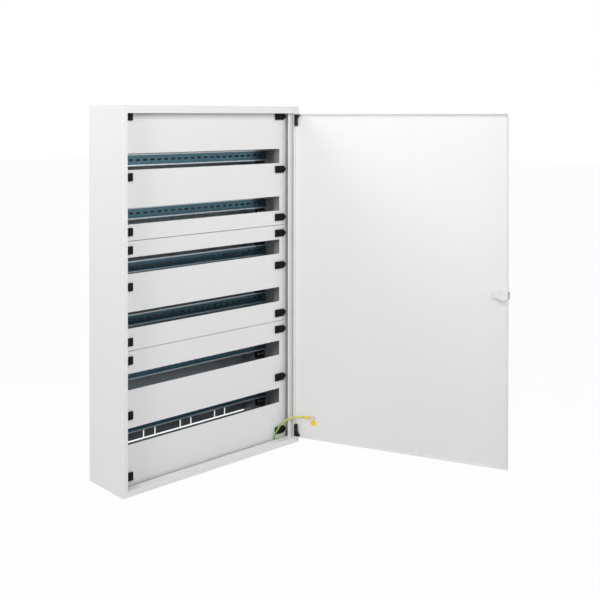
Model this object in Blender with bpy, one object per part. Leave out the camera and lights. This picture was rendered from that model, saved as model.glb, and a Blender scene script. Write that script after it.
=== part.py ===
"""Wall-hung steel switchboard cabinet: case, six DIN rails, three clipped cover plates and an open door.

Sizes are in metres. Every piece is placed from the left, the front and the bottom of the case, and the
world origin lies at the middle of the wall face: +X right, +Y to the wall, +Z up.
"""

import math

import bmesh
import bpy
from mathutils import Matrix, Vector

GAP = 0.0003  # between pieces that touch
OVERCUT = 0.01  # how far a cutter runs past the sheet it cuts
OVERLAP = 0.0005  # where the shapes of one piece are joined, and the small steps between them

# Case
WIDTH = 0.672
HEIGHT = 1.062
DEPTH = 0.168
CASE_SHEET = 0.0015
CASE_EDGE = 0.003  # rounding of the front edges
LEFT_LIP = 0.0155
TOP_LIP = 0.0208
BOTTOM_LIP = 0.0174
LIP_RETURN = 0.026  # how far the lips turn back into the case

# Hinge side of the case
HINGE_LIP = 0.032  # from the right side to the edge of the set-back lip
HINGE_LIP_CLEARANCE = 0.002  # from the shut door's rim back to that lip
HINGE_FROM_SIDE = 0.0091
HINGE_FROM_FRONT = 0.0045
PIN_DIAMETER = 0.003
PIN_CLEARANCE = 0.0001
PIN_LENGTH = 0.024
BORE_PAST_PIN = 0.002
PIN_COLLAR_DIAMETER = 0.0065

# Door
DOOR_THICKNESS = 0.014
DOOR_SHEET = 0.0015
DOOR_CORNER = 0.0012  # rounding of the corners at the free edge
DOOR_SETBACK = 0.0005
DOOR_CLEARANCE = 0.0015
DOOR_HINGE_EDGE = 0.005  # from the hinge axis to the door's edge
OPEN_ANGLE = 114.6

# Black plastic corner pieces in the door
CORNER_FOOT = 0.017
CORNER_SLOPE = 0.014
CORNER_STRIP = 0.0085
CORNER_HEIGHT = 0.036
CORNER_BELOW_RIM = 0.0007

# Latch
LATCH_UP = 0.521
LATCH_HEIGHT = 0.027
LATCH_OUTER = 0.022  # the tall half of the housing, from the door's free edge
LATCH_WALL = 0.0018  # behind the bolt
LATCH_INNER = 0.044  # end of the low half
LATCH_INNER_BACK = 0.012
LATCH_INNER_HEIGHT = 0.025
BOLT_HEIGHT = 0.022
BOLT_THICKNESS = 0.0045
BOLT_TIP = 0.0015  # thickness left at the tongue's end
BOLT_PROUD = 0.0055  # how far the tongue stands out of the door's free edge
BOLT_LENGTH = 0.019
BOLT_TRAVEL = 0.0065
STRIKE_CLEARANCE = 0.001
STEM_FROM_EDGE = 0.0065
STEM_LENGTH = 0.006
STEM_HEIGHT = 0.014
GRIP_LENGTH = 0.018
GRIP_HEIGHT = 0.030
GRIP_THICKNESS = 0.004

# Cover plates
COVER_FRONT = 0.035
COVER_SHEET = 0.0012
COVER_RIM = 0.012
COVER_EDGE = 0.0015
COVER_LEFT = 0.0065
COVER_RIGHT = 0.0252
COVER_TOPS = (0.017, 0.3743, 0.6773)  # from the top of the case
COVER_JOINT = 0.0015  # between two covers
COVER_BOTTOM = 0.013
SLOT_SIDE = 0.0275  # from the cover's side edge to the slot
SLOT_HEIGHT = 0.045
SLOT_ROWS = (0.155, 0.3048, 0.441, 0.5915, 0.761, 0.9115)  # slot centres from the top

# Cover clips
CLIP_ROWS = (0.0303, 0.1971, 0.3478, 0.3982, 0.4991, 0.6507, 0.7019, 0.8532, 1.0212)
CLIP_LENGTH = 0.037
CLIP_HEIGHT = 0.0222
CLIP_THICKNESS = 0.005
CLIP_CHAMFER = 0.003
CLIP_INSET = 0.0105  # from the cover's side edge to the clip's body
NUB_LENGTH = 0.0067
NUB_HEIGHT = 0.011
NUB_CORNER = 0.002
NECK_FROM_EDGE = 0.002  # clear of the ledge's edge
NECK_LENGTH = 0.010
NECK_HEIGHT = 0.010
FOOT_HEIGHT = 0.016
FOOT_THICKNESS = 0.003
CATCH_THICKNESS = 0.002
CATCH_GRIP = 0.008  # how far the catch reaches behind the ledge
CLIP_TRAVEL = 0.011

# Ledges that carry the covers
LEDGE_SHEET = 0.0015
LEDGE_LEG = 0.016  # along the case wall
LEDGE_UNDER_COVER = 0.0068
LEDGE_END = 0.022  # from the case's top and bottom

# Rails
RAIL_FIRST = 0.1543  # first rail's centre from the top
RAIL_PITCH = 0.1513
RAIL_FRONT = 0.091
RAIL_HEIGHT = 0.035
RAIL_CROWN = 0.027
RAIL_DEPTH = 0.0075
RAIL_SHEET = 0.001
RAIL_SIDE = 0.0281  # from the cover's side edge to the rail's end
HOLE_PITCH = 0.025
HOLE_LENGTH = 0.015
HOLE_WIDTH = 0.0062
HOLE_FROM_END = 0.025  # from the rail's right end to the middle of its first hole

# Rail carriers
CARRIER_WIDTH = 0.029
CARRIER_THICKNESS = 0.011
CARRIER_SIDE = 0.026  # how far a carrier shows past its rail
CARRIER_INSET = 0.007  # from the rail's end
HIGH_CARRIERS = (2, 3)  # rails whose carriers show above them
UPRIGHT_WIDTH = 0.026
UPRIGHT_SHEET = 0.0015
UPRIGHT_END = 0.030

# Rear wall
REAR_RIM = 0.012
WALL_HOLE = 0.010
WALL_HOLE_INSET = 0.040
SLIT_WIDTH = 0.0045
SLIT_UP = 0.0785
SLIT_LONG = 0.060
SLIT_SHORT = 0.028
SLIT_FROM_LEFT = 0.0912  # the row's first knock-out slit, from the case's left side
SLIT_FROM_RIGHT = 0.083
SLIT_SHIFT = 0.00975  # how far the other slits' middle stands right of the case's middle
SLIT_INNER_APART = 0.0417
SLIT_SHORT_APART = 0.2337
SLIT_OUTER_APART = 0.3171

# Earth connection
STUD_DIAMETER = 0.006
STUD_LENGTH = 0.0105
NUT_WIDTH = 0.010
NUT_THICKNESS = 0.0045
LUG_DIAMETER = 0.0115
LUG_SHEET = 0.0012
BARREL_DIAMETER = 0.0068
BARREL_LENGTH = 0.017
BARREL_FROM_STUD = 0.0105
DOOR_STUD_FROM_EDGE = 0.0626
DOOR_STUD_UP = 0.082
CASE_STUD = (0.106, 0.062)  # from the right side and from the front
CASE_LUG_ANGLE = -48.0
LEAD_DIAMETER = 0.005
LEAD_STRAIGHT = 0.007  # how far the lead runs straight out of a lug
LEAD_ROUTE = (  # between the lugs, from the right side, the front and the bottom of the case
    (0.0805, 0.0315, 0.0095),
    (0.0800, 0.0300, 0.0180),
    (0.0780, 0.0270, 0.0340),
    (0.0720, 0.0230, 0.0490),
    (0.0600, 0.0200, 0.0630),
    (0.0440, 0.0140, 0.0740),
    (0.0290, 0.0050, 0.0800),
    (0.0170, -0.0040, 0.0820),
    (0.0080, -0.0110, 0.0825),
)

WHITE = ("powder_white", (0.86, 0.86, 0.855), 0.42, 0.0)
COVER_WHITE = ("cover_white", (0.84, 0.84, 0.835), 0.45, 0.0)
LATCH_WHITE = ("latch_white", (0.82, 0.82, 0.81), 0.40, 0.0)
BLACK = ("black_plastic", (0.012, 0.012, 0.013), 0.45, 0.0)
ZINC = ("zinc_blue", (0.42, 0.50, 0.56), 0.28, 1.0)
GALVANISED = ("galvanised", (0.50, 0.52, 0.54), 0.45, 1.0)
STEEL = ("plain_steel", (0.60, 0.60, 0.60), 0.30, 1.0)
BOLT_GREY = ("bolt_grey", (0.50, 0.50, 0.50), 0.45, 0.0)
TINNED = ("tinned_copper", (0.66, 0.63, 0.58), 0.28, 1.0)
LEAD_GREEN = ("earth_green", (0.36, 0.55, 0.05), 0.45, 0.0)

HINGE = (WIDTH - HINGE_FROM_SIDE, HINGE_FROM_FRONT)
DOOR_RIGHT = HINGE[0] + DOOR_HINGE_EDGE
DOOR_LEFT = LEFT_LIP + DOOR_CLEARANCE
DOOR_BOTTOM = BOTTOM_LIP + DOOR_CLEARANCE
DOOR_TOP = HEIGHT - TOP_LIP - DOOR_CLEARANCE
DOOR_INNER = DOOR_SETBACK + DOOR_SHEET  # the sheet's inner face, door shut
RAIL_WEB = RAIL_FRONT + RAIL_DEPTH
UPRIGHT_FRONT = RAIL_WEB + CARRIER_THICKNESS + 2 * GAP
REAR_INNER = DEPTH - CASE_SHEET
COVER_WIDTH = WIDTH - COVER_LEFT - COVER_RIGHT
COVER_MIDDLE = COVER_LEFT + COVER_WIDTH / 2
SLOT_LENGTH = COVER_WIDTH - 2 * SLOT_SIDE
RAIL_LENGTH = COVER_WIDTH - 2 * RAIL_SIDE
HOLE_COUNT = 1 + int((RAIL_LENGTH - 2 * HOLE_FROM_END) / HOLE_PITCH)
LEDGE_FRONT = COVER_FRONT + COVER_RIM + GAP
DOOR_RIM_END = DOOR_SETBACK + DOOR_THICKNESS
HINGE_LIP_FRONT = DOOR_RIM_END + HINGE_LIP_CLEARANCE
CORNER_DEPTH = DOOR_THICKNESS - DOOR_SHEET - GAP - CORNER_BELOW_RIM
BOLT_FRONT = DOOR_RIM_END + 4 * GAP
LATCH_BACK = BOLT_FRONT + BOLT_THICKNESS + LATCH_WALL
STEM_LEFT = DOOR_LEFT + STEM_FROM_EDGE


def at(left, front, up):
    """The world point this far from the case's left side, front and bottom."""
    return Vector((left - WIDTH / 2, front - DEPTH, up - HEIGHT / 2))


def clear_scene():
    for obj in list(bpy.data.objects):
        bpy.data.objects.remove(obj, do_unlink=True)


def material(look):
    name, colour, roughness, metallic = look
    found = bpy.data.materials.get(name)
    if found:
        return found
    made = bpy.data.materials.new(name)
    made.use_nodes = True
    made.diffuse_color = (*colour, 1.0)
    shader = made.node_tree.nodes["Principled BSDF"]
    shader.inputs["Base Color"].default_value = (*colour, 1.0)
    shader.inputs["Roughness"].default_value = roughness
    shader.inputs["Metallic"].default_value = metallic
    return made


def mesh_of(name, shape):
    """A mesh from a bmesh with outward faces."""
    bmesh.ops.recalc_face_normals(shape, faces=shape.faces)
    mesh = bpy.data.meshes.new(name)
    shape.to_mesh(mesh)
    shape.free()
    return mesh


def add_node(name, mesh, look, place=Matrix.Identity(4), parent=None):
    obj = bpy.data.objects.new(name, mesh)
    if not mesh.materials:
        mesh.materials.append(material(look))
    obj.matrix_world = place
    if parent:
        obj.parent = parent
    bpy.context.scene.collection.objects.link(obj)
    return obj


def add_box(shape, low, high):
    """A box between two corners, added to a bmesh."""
    low, high = Vector(low), Vector(high)
    size = Matrix.Diagonal((*(high - low), 1.0))
    bmesh.ops.create_cube(shape, size=1.0, matrix=Matrix.Translation((low + high) / 2) @ size)


def add_cylinder(shape, centre, radius, length, sides, axis="Z"):
    turns = {"X": Matrix.Rotation(math.pi / 2, 4, "Y"), "Y": Matrix.Rotation(math.pi / 2, 4, "X")}
    place = Matrix.Translation(centre) @ turns.get(axis, Matrix.Identity(4))
    bmesh.ops.create_cone(
        shape, cap_ends=True, segments=sides, radius1=radius, radius2=radius, depth=length, matrix=place
    )


def add_prism(shape, outline, to_point, start, end):
    """An outline's points (a, b), pushed from start to end, placed by to_point(a, b, c)."""
    near = [shape.verts.new(to_point(a, b, start)) for a, b in outline]
    far = [shape.verts.new(to_point(a, b, end)) for a, b in outline]
    shape.faces.new(near)
    shape.faces.new(list(reversed(far)))
    for i, vert in enumerate(near):
        j = (i + 1) % len(near)
        shape.faces.new((vert, far[i], far[j], near[j]))


def add_loops(shape, loops, closed):
    """Rectangles (left, right, bottom, top, front) joined in turn, as a closed ring or with end caps."""
    rings = [
        [
            shape.verts.new(at(x, front, z))
            for x, z in ((left, bottom), (right, bottom), (right, top), (left, top))
        ]
        for left, right, bottom, top, front in loops
    ]
    joins = list(zip(rings, rings[1:]))
    if closed:
        joins.append((rings[-1], rings[0]))
    else:
        shape.faces.new(rings[0])
        shape.faces.new(list(reversed(rings[-1])))
    for ring, following in joins:
        for i in range(4):
            j = (i + 1) % 4
            shape.faces.new((ring[i], following[i], following[j], ring[j]))


def combined(name, base, tool, operation):
    """The mesh of one mesh after a Boolean with another."""
    first = bpy.data.objects.new(name, base)
    second = bpy.data.objects.new(name + "_tool", tool)
    for obj in (first, second):
        bpy.context.scene.collection.objects.link(obj)
    modifier = first.modifiers.new("shape", "BOOLEAN")
    modifier.operation = operation
    modifier.object = second
    graph = bpy.context.evaluated_depsgraph_get()
    made = bpy.data.meshes.new_from_object(first.evaluated_get(graph))
    bpy.data.objects.remove(first)
    bpy.data.objects.remove(second)
    made.name = name
    return made


def cut(name, base, tool):
    return combined(name, base, tool, "DIFFERENCE")


def join(name, *shapes):
    """The union of several bmeshes that overlap."""
    made = mesh_of(name, shapes[0])
    for shape in shapes[1:]:
        made = combined(name, made, mesh_of(name, shape), "UNION")
    return made


def box_shape(low, high):
    shape = bmesh.new()
    add_box(shape, low, high)
    return shape


def quarter(radius, steps=3):
    """(inwards, back) along a rounded edge, from the side face to the front face."""
    for i in range(steps + 1):
        turn = math.pi / 2 * i / steps
        yield radius * (1 - math.cos(turn)), radius * (1 - math.sin(turn))


def inset_loop(area, inset, front):
    left, right, bottom, top = area
    return left + inset, right - inset, bottom + inset, top - inset, front


def case_block():
    """The case's outer shape, solid, with its front edges rounded."""
    area = (0, WIDTH, 0, HEIGHT)
    shape = bmesh.new()
    loops = [inset_loop(area, 0, DEPTH)]
    loops += [inset_loop(area, inwards, back) for inwards, back in quarter(CASE_EDGE)]
    add_loops(shape, loops, closed=False)
    return mesh_of("case_shell", shape)


def case_hollows():
    """Boxes cut from the block in turn: the inside, the door opening, and behind each folded lip."""
    sheet, back, past = CASE_SHEET, LIP_RETURN, LIP_RETURN + OVERCUT
    right, top = WIDTH - sheet, HEIGHT - sheet
    return (
        ((sheet, back, sheet), (right, DEPTH + OVERCUT, top)),
        ((LEFT_LIP, -OVERCUT, BOTTOM_LIP), (right, past, HEIGHT - TOP_LIP)),
        ((sheet, sheet, sheet), (LEFT_LIP - sheet, past, top)),
        ((sheet, sheet, sheet), (right, past, BOTTOM_LIP - sheet)),
        ((sheet, sheet, HEIGHT - TOP_LIP + sheet), (right, past, top)),
    )


def hinge_lip():
    """The set-back lip between the hinge pocket and the covers."""
    back = HINGE_LIP_FRONT + CASE_SHEET
    low, high = CASE_SHEET / 2, HEIGHT - CASE_SHEET / 2
    return box_shape(
        at(WIDTH - HINGE_LIP, HINGE_LIP_FRONT, low), at(WIDTH - CASE_SHEET / 2, back, high)
    )


def case_holes():
    """Holes for the two hinge pins and the latch bolt's slot in the left lip."""
    shape = bmesh.new()
    radius = PIN_DIAMETER / 2 + GAP
    for up in (BOTTOM_LIP, HEIGHT - TOP_LIP):
        add_cylinder(shape, at(*HINGE, up), radius, 6 * CASE_SHEET, 16)
    low, high = LATCH_UP - BOLT_HEIGHT / 2, LATCH_UP + BOLT_HEIGHT / 2
    back = BOLT_FRONT + BOLT_THICKNESS + 2 * STRIKE_CLEARANCE
    add_box(
        shape,
        at(LEFT_LIP - 2 * CASE_SHEET, BOLT_FRONT - STRIKE_CLEARANCE, low - STRIKE_CLEARANCE),
        at(LEFT_LIP + CASE_SHEET, back, high + STRIKE_CLEARANCE),
    )
    return mesh_of("case_holes", shape)


def make_case():
    shell = case_block()
    for low, high in case_hollows():
        shell = cut("case_shell", shell, mesh_of("hollow", box_shape(at(*low), at(*high))))
    whole = combined("case_shell", shell, mesh_of("hinge_lip", hinge_lip()), "UNION")
    add_node("case_shell", cut("case_shell", whole, case_holes()), WHITE)


def slit_places():
    """How far each knock-out slit stands from the case's left, with its height, from right to left."""
    middle = WIDTH / 2 + SLIT_SHIFT
    places = [(SLIT_FROM_LEFT, SLIT_LONG), (WIDTH - SLIT_FROM_RIGHT, SLIT_LONG)]
    for side in (-1, 1):
        places += [
            (middle + side * SLIT_INNER_APART / 2, SLIT_LONG),
            (middle + side * SLIT_SHORT_APART / 2, SLIT_SHORT),
            (middle + side * SLIT_OUTER_APART / 2, SLIT_LONG),
        ]
    return sorted(places, reverse=True)


def slit_shape():
    """Laser-cut outlines of the cable knock-outs, which hold on at their upper ends."""
    shape = bmesh.new()
    front, back = REAR_INNER - OVERCUT, DEPTH + OVERCUT
    low, high = SLIT_UP - SLIT_WIDTH / 2, SLIT_UP + SLIT_WIDTH / 2
    half = SLIT_WIDTH / 2
    outline = [(SLIT_FROM_LEFT - half, low), (WIDTH - SLIT_FROM_RIGHT + half, low)]
    for left, height in slit_places():
        outline += [(left + half, high), (left + half, high + height)]
        outline += [(left - half, high + height), (left - half, high)]
    outline = [p for i, p in enumerate(outline) if i != 2]
    outline.pop()
    add_prism(shape, outline, lambda a, b, c: at(a, c, b), front, back)
    return shape


def rear_wall_tray():
    """A tray whose rim turns forwards inside the case walls."""
    area = (
        CASE_SHEET + GAP,
        WIDTH - CASE_SHEET - GAP,
        CASE_SHEET + GAP,
        HEIGHT - CASE_SHEET - GAP,
    )
    rim = REAR_INNER - REAR_RIM
    shape = bmesh.new()
    add_loops(
        shape,
        [
            inset_loop(area, 0, DEPTH),
            inset_loop(area, 0, rim),
            inset_loop(area, CASE_SHEET, rim),
            inset_loop(area, CASE_SHEET, REAR_INNER),
        ],
        closed=False,
    )
    return shape


def make_rear_wall():
    shape = slit_shape()
    for left in (WALL_HOLE_INSET, WIDTH - WALL_HOLE_INSET):
        for up in (WALL_HOLE_INSET, HEIGHT - WALL_HOLE_INSET):
            add_cylinder(shape, at(left, DEPTH, up), WALL_HOLE / 2, OVERCUT, 16, "Y")
    tray = mesh_of("rear_wall", rear_wall_tray())
    add_node("rear_wall", cut("rear_wall", tray, mesh_of("rear_holes", shape)), GALVANISED)


def rail_middle(row):
    return HEIGHT - RAIL_FIRST - row * RAIL_PITCH


def rail_outline():
    """Half the top-hat section is drawn and mirrored: (up, front)."""
    lip, crown, sheet = RAIL_HEIGHT / 2, RAIL_CROWN / 2, RAIL_SHEET
    half = [
        (crown, RAIL_WEB),
        (crown, RAIL_FRONT + sheet),
        (lip, RAIL_FRONT + sheet),
        (lip, RAIL_FRONT),
        (crown - sheet, RAIL_FRONT),
        (crown - sheet, RAIL_WEB - sheet),
    ]
    return half + [(-up, front) for up, front in reversed(half)]


def obround(length, width, steps=3):
    """Points round a slot with half-round ends."""
    radius, reach = width / 2, (length - width) / 2
    for side in (1, -1):
        for i in range(steps + 1):
            turn = math.pi * (i / steps - 0.5)
            yield side * (reach + radius * math.cos(turn)), side * radius * math.sin(turn)


def rail_mesh():
    left, right = COVER_MIDDLE - RAIL_LENGTH / 2, COVER_MIDDLE + RAIL_LENGTH / 2
    bar = bmesh.new()
    add_prism(bar, rail_outline(), lambda a, b, c: at(c, b, a + HEIGHT / 2), left, right)
    holes = bmesh.new()
    for i in range(HOLE_COUNT):
        middle = right - HOLE_FROM_END - i * HOLE_PITCH

        def to_point(a, b, c, middle=middle):
            return at(middle + a, c, b + HEIGHT / 2)

        outline = list(obround(HOLE_LENGTH, HOLE_WIDTH))
        add_prism(holes, outline, to_point, RAIL_WEB - 3 * RAIL_SHEET, RAIL_WEB + RAIL_SHEET)
    return cut("rail", mesh_of("rail", bar), mesh_of("rail_holes", holes))


def make_rails():
    mesh = rail_mesh()
    for row in range(len(SLOT_ROWS)):
        up = rail_middle(row) - HEIGHT / 2
        add_node(f"din_rail_{row + 1}", mesh, ZINC, Matrix.Translation((0, 0, up)))


def span_at_rail_end(side, width):
    """Left and right edges of a piece this wide at the rails' left (side -1) or right (side 1) end."""
    outer = COVER_MIDDLE + side * (RAIL_LENGTH / 2 - CARRIER_INSET)
    inner = outer - side * width
    return min(outer, inner), max(outer, inner)


def make_carriers():
    for row in range(len(SLOT_ROWS)):
        middle = rail_middle(row)
        low, high = middle - RAIL_HEIGHT / 2 - CARRIER_SIDE, middle + RAIL_HEIGHT / 2
        if row in HIGH_CARRIERS:
            low, high = middle - RAIL_HEIGHT / 2, middle + RAIL_HEIGHT / 2 + CARRIER_SIDE
        for side, word in ((-1, "left"), (1, "right")):
            left, right = span_at_rail_end(side, CARRIER_WIDTH)
            front = RAIL_WEB + GAP
            shape = box_shape(at(left, front, low), at(right, front + CARRIER_THICKNESS, high))
            name = f"rail_carrier_{word}_{row + 1}"
            add_node(name, mesh_of(name, shape), BLACK)


def make_uprights():
    """Channels that stand on the rear wall and hold the rail carriers."""
    for side, word in ((-1, "left"), (1, "right")):
        left, right = span_at_rail_end(side, UPRIGHT_WIDTH)
        front, back, sheet = UPRIGHT_FRONT, REAR_INNER - GAP, UPRIGHT_SHEET
        outline = [
            (left, back),
            (left, front),
            (right, front),
            (right, back),
            (right - sheet, back),
            (right - sheet, front + sheet),
            (left + sheet, front + sheet),
            (left + sheet, back),
        ]
        shape = bmesh.new()
        add_prism(shape, outline, at, UPRIGHT_END, HEIGHT - UPRIGHT_END)
        add_node(f"upright_{word}", mesh_of(f"upright_{word}", shape), GALVANISED)


def ledge_edge(side):
    """How far from the left a ledge's inner edge lies."""
    return COVER_MIDDLE + side * (COVER_WIDTH / 2 - LEDGE_UNDER_COVER)


def make_ledges():
    """Angle strips on the side walls: the covers' rims rest on them, and the clips catch behind them."""
    for side, word, wall in ((-1, "left", CASE_SHEET + GAP), (1, "right", WIDTH - CASE_SHEET - GAP)):
        front, sheet = LEDGE_FRONT, LEDGE_SHEET
        edge = ledge_edge(side)
        outline = [
            (edge, front),
            (wall, front),
            (wall, front + LEDGE_LEG),
            (wall - side * sheet, front + LEDGE_LEG),
            (wall - side * sheet, front + sheet),
            (edge, front + sheet),
        ]
        shape = bmesh.new()
        add_prism(shape, outline, at, LEDGE_END, HEIGHT - LEDGE_END)
        add_node(f"cover_ledge_{word}", mesh_of(f"cover_ledge_{word}", shape), WHITE)


def tray(area, front, depth, sheet, edge):
    """A sheet with a rim turned back all round: area is (left, right, bottom, top)."""
    shape = bmesh.new()
    rounded = [inset_loop(area, inwards, front + back) for inwards, back in quarter(edge)]
    loops = [
        *reversed(rounded),
        inset_loop(area, 0, front + depth),
        inset_loop(area, sheet, front + depth),
        inset_loop(area, sheet, front + sheet),
    ]
    add_loops(shape, loops, closed=False)
    return shape


def neck_span(side):
    """The stretch, from the left, that a clip's neck fills at rest."""
    outer = ledge_edge(side) - side * NECK_FROM_EDGE
    inner = outer - side * NECK_LENGTH
    return min(inner, outer), max(inner, outer)


def cover_openings(low, high):
    """The module slots and clip windows between two heights above the case's bottom."""
    shape = bmesh.new()
    front, back = COVER_FRONT - OVERCUT, COVER_FRONT + COVER_SHEET + OVERCUT
    for row in SLOT_ROWS:
        up = HEIGHT - row
        if low < up < high:
            left = COVER_MIDDLE - SLOT_LENGTH / 2
            half = SLOT_HEIGHT / 2
            add_box(shape, at(left, front, up - half), at(left + SLOT_LENGTH, back, up + half))
    for row in CLIP_ROWS:
        up = HEIGHT - row
        if low < up < high:
            half = NECK_HEIGHT / 2 + GAP
            for side in (-1, 1):
                ends = list(neck_span(side))
                ends[0] -= GAP + (CLIP_TRAVEL if side > 0 else 0)
                ends[1] += GAP + (CLIP_TRAVEL if side < 0 else 0)
                add_box(shape, at(ends[0], front, up - half), at(ends[1], back, up + half))
    return mesh_of("cover_openings", shape)


def make_covers():
    lows = [HEIGHT - top + COVER_JOINT for top in COVER_TOPS[1:]] + [COVER_BOTTOM]
    for number, (top, low) in enumerate(zip(COVER_TOPS, lows), 1):
        high = HEIGHT - top
        area = (COVER_LEFT, COVER_LEFT + COVER_WIDTH, low, high)
        plate = mesh_of("cover", tray(area, COVER_FRONT, COVER_RIM, COVER_SHEET, COVER_EDGE))
        name = f"cover_{number}"
        add_node(name, cut(name, plate, cover_openings(low, high)), COVER_WHITE)


def clip_outline():
    """A clip's face, outwards from its inner end: (outwards, up)."""
    half, nub, cut_off = CLIP_HEIGHT / 2, NUB_HEIGHT / 2, CLIP_CHAMFER
    end = CLIP_LENGTH + NUB_LENGTH
    upper = [
        (CLIP_LENGTH - cut_off, half),
        (CLIP_LENGTH, half - cut_off),
        (CLIP_LENGTH, nub),
        (end - NUB_CORNER, nub),
        (end, nub - NUB_CORNER),
    ]
    lower = [(out, -up) for out, up in reversed(upper)]
    return [(0, half), *upper, *lower, (0, -half)]


def clip_mesh(side):
    """A cover clip at mid-height: face and nub, neck, foot, and the catch behind the ledge."""
    inner_end = COVER_MIDDLE + side * (COVER_WIDTH / 2 - CLIP_INSET - CLIP_LENGTH)
    face_back = COVER_FRONT - GAP
    middle = HEIGHT / 2

    def to_point(a, b, c):
        return at(inner_end + side * a, c, middle + b)

    face = bmesh.new()
    add_prism(face, clip_outline(), to_point, face_back - CLIP_THICKNESS, face_back)
    near, far = neck_span(side)
    half = NECK_HEIGHT / 2
    catch_front = LEDGE_FRONT + LEDGE_SHEET + GAP
    catch_back = catch_front + CATCH_THICKNESS
    neck = box_shape(
        at(near, face_back - OVERLAP, middle - half), at(far, catch_back - OVERLAP, middle + half)
    )
    foot_front = COVER_FRONT + COVER_SHEET + GAP
    half = FOOT_HEIGHT / 2
    foot = box_shape(
        at(near - OVERLAP, foot_front, middle - half),
        at(far + OVERLAP, foot_front + FOOT_THICKNESS, middle + half),
    )
    tip = ledge_edge(side) + side * CATCH_GRIP
    root = near - OVERLAP if side > 0 else far + OVERLAP
    catch = box_shape(
        at(min(root, tip), catch_front, middle - half), at(max(root, tip), catch_back, middle + half)
    )
    return join("clip", face, neck, foot, catch)


def make_clips():
    for side, word in ((-1, "left"), (1, "right")):
        mesh = clip_mesh(side)
        for number, row in enumerate(CLIP_ROWS, 1):
            place = Matrix.Translation((0, 0, HEIGHT / 2 - row))
            add_node(f"cover_clip_{word}_{number}", mesh, BLACK, place)


def make_door_pivot():
    """The empty on the hinge axis, which turns what is drawn with the door shut."""
    pivot = bpy.data.objects.new("door_pivot", None)
    pivot.location = at(*HINGE, 0)
    pivot.rotation_euler = (0, 0, math.radians(OPEN_ANGLE))
    bpy.context.scene.collection.objects.link(pivot)
    return pivot


def add_to_door(name, mesh, look, pivot):
    """A mesh drawn in place with the door shut, as a child of the door's pivot."""
    mesh.transform(Matrix.Translation(-pivot.location))
    return add_node(name, mesh, look, parent=pivot)


def door_openings():
    """Pin holes in the rims, and the slot for the bolt's stem."""
    shape = bmesh.new()
    for up in (DOOR_BOTTOM, DOOR_TOP):
        add_cylinder(shape, at(*HINGE, up), PIN_DIAMETER / 2 + GAP, OVERCUT, 16)
    half = STEM_HEIGHT / 2 + GAP
    add_box(
        shape,
        at(STEM_LEFT - GAP, -OVERCUT, LATCH_UP - half),
        at(STEM_LEFT + STEM_LENGTH + BOLT_TRAVEL + GAP, OVERCUT, LATCH_UP + half),
    )
    return mesh_of("door_openings", shape)


def make_door(pivot):
    area = (DOOR_LEFT, DOOR_RIGHT, DOOR_BOTTOM, DOOR_TOP)
    pan = tray(area, DOOR_SETBACK, DOOR_THICKNESS, DOOR_SHEET, DOOR_SHEET)
    bevel_door_corners(pan)
    mesh = cut("door", mesh_of("door", pan), door_openings())
    add_to_door("door", mesh, WHITE, pivot)


def bevel_door_corners(pan):
    """Rounds the outer corners at the door's free edge."""
    free = at(DOOR_LEFT + GAP, 0, 0).x
    ends = [
        edge
        for edge in pan.edges
        if all(v.co.x < free for v in edge.verts)
        and abs(edge.verts[0].co.z - edge.verts[1].co.z) < GAP
        and abs(edge.verts[0].co.y - edge.verts[1].co.y) > DOOR_THICKNESS / 2
    ]
    bmesh.ops.bevel(pan, geom=ends, offset=DOOR_CORNER, segments=2, affect="EDGES")


def corner_outline():
    """A corner piece's outline from the door's inner corner: (from the hinge edge, up)."""
    return [
        (0, 0),
        (CORNER_FOOT, 0),
        (CORNER_STRIP, CORNER_SLOPE),
        (CORNER_STRIP, CORNER_HEIGHT),
        (0, CORNER_HEIGHT),
    ]


def make_corner(word, edge, direction, pivot):
    """A hinge corner piece, from the rim at height edge towards the door's middle."""
    right = DOOR_RIGHT - DOOR_SHEET - GAP
    start = edge + direction * (DOOR_SHEET + GAP)
    front = DOOR_INNER + GAP
    body = bmesh.new()
    add_prism(
        body,
        corner_outline(),
        lambda a, b, c: at(right - a, c, start + direction * b),
        front,
        front + CORNER_DEPTH,
    )
    bore = bmesh.new()
    add_cylinder(bore, at(*HINGE, start), PIN_DIAMETER / 2 + PIN_CLEARANCE, 2 * pin_reach(), 16)
    name = f"hinge_corner_{word}"
    mesh = cut(name, mesh_of(name, body), mesh_of("bore", bore))
    add_to_door(name, mesh, BLACK, pivot)


def pin_reach():
    """How deep a corner piece's bore runs."""
    return PIN_LENGTH / 2 + BORE_PAST_PIN


def make_pin(word, lip_face, direction):
    """A hinge pin through a lip of the case, with a collar that keeps the door off the lip."""
    shaft = bmesh.new()
    add_cylinder(shaft, at(*HINGE, lip_face), PIN_DIAMETER / 2, PIN_LENGTH, 16)
    collar = bmesh.new()
    thickness = DOOR_CLEARANCE - 2 * GAP
    up = lip_face + direction * DOOR_CLEARANCE / 2
    add_cylinder(collar, at(*HINGE, up), PIN_COLLAR_DIAMETER / 2, thickness, 16)
    name = f"hinge_pin_{word}"
    add_node(name, join(name, shaft, collar), STEEL)


def make_hinges(pivot):
    make_corner("bottom", DOOR_BOTTOM, 1, pivot)
    make_corner("top", DOOR_TOP, -1, pivot)
    make_pin("bottom", BOTTOM_LIP, 1)
    make_pin("top", HEIGHT - TOP_LIP, -1)


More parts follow.
